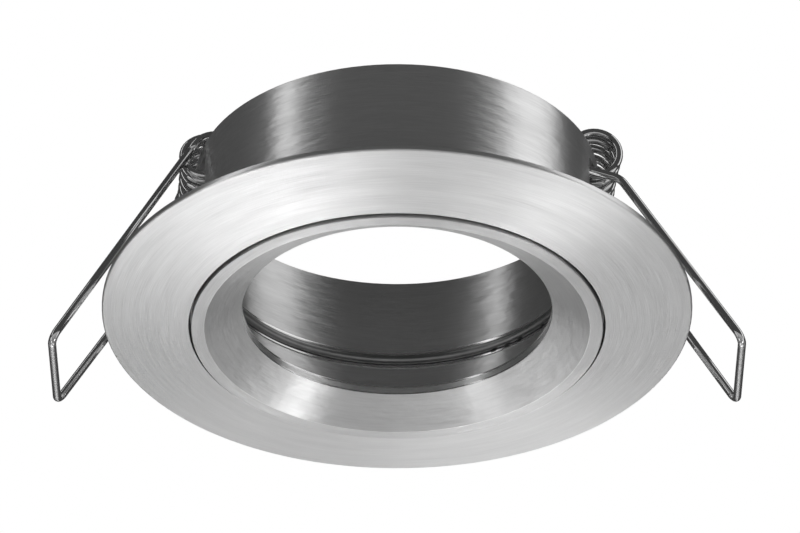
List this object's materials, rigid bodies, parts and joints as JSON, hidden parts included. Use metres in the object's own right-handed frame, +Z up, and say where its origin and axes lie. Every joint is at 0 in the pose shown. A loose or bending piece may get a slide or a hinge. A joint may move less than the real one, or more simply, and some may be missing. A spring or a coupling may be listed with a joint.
{
  "type": "soffit downlight",
  "caption": "Round recessed soffit downlight: a turned flange and windowed collar, a push-in lamp ring with a wire circlip, and sprung wire clips that hold it up in its cut-out.",
  "frame": {"origin": "on the light's axis, at the flange's back face, where it meets the soffit", "axes": "+Z up into the soffit along the light's axis; the light leaves along -Z; +X and -X point to the two spring clips"},
  "size_m": [0.0958, 0.082, 0.0364],
  "materials": {
    "turned_aluminium": "fine turned, satin",
    "spring_wire": "bright drawn steel wire"
  },
  "bodies": {
    "housing_body": {"housing": "turned_aluminium", "left_spring_coil": "spring_wire", "right_spring_coil": "spring_wire"},
    "lamp_ring_body": {"lamp_ring": "turned_aluminium", "lamp_circlip": "spring_wire"},
    "left_bail_body": {"left_spring_bail": "spring_wire"},
    "right_bail_body": {"right_spring_bail": "spring_wire"}
  },
  "joints": [
    {"name": "lamp_ring_slide", "type": "slide", "parent": "housing_body", "child": "lamp_ring_body", "axis": [0, 0, -1], "range_m": [0, 0.0115]},
    {"name": "left_clip_hinge", "type": "hinge", "parent": "housing_body", "child": "left_bail_body", "pos_m": [-0.0265, 0, 0.0213], "axis": [0, 1, 0], "range_deg": [0, 148], "stiffness_Nm_per_rad": 0.12, "springref_deg": -20.05, "deforming": ["left_spring_coil"]},
    {"name": "right_clip_hinge", "type": "hinge", "parent": "housing_body", "child": "right_bail_body", "pos_m": [0.0265, 0, 0.0213], "axis": [0, -1, 0], "range_deg": [0, 148], "stiffness_Nm_per_rad": 0.12, "springref_deg": -20.05, "deforming": ["right_spring_coil"]}
  ]
}
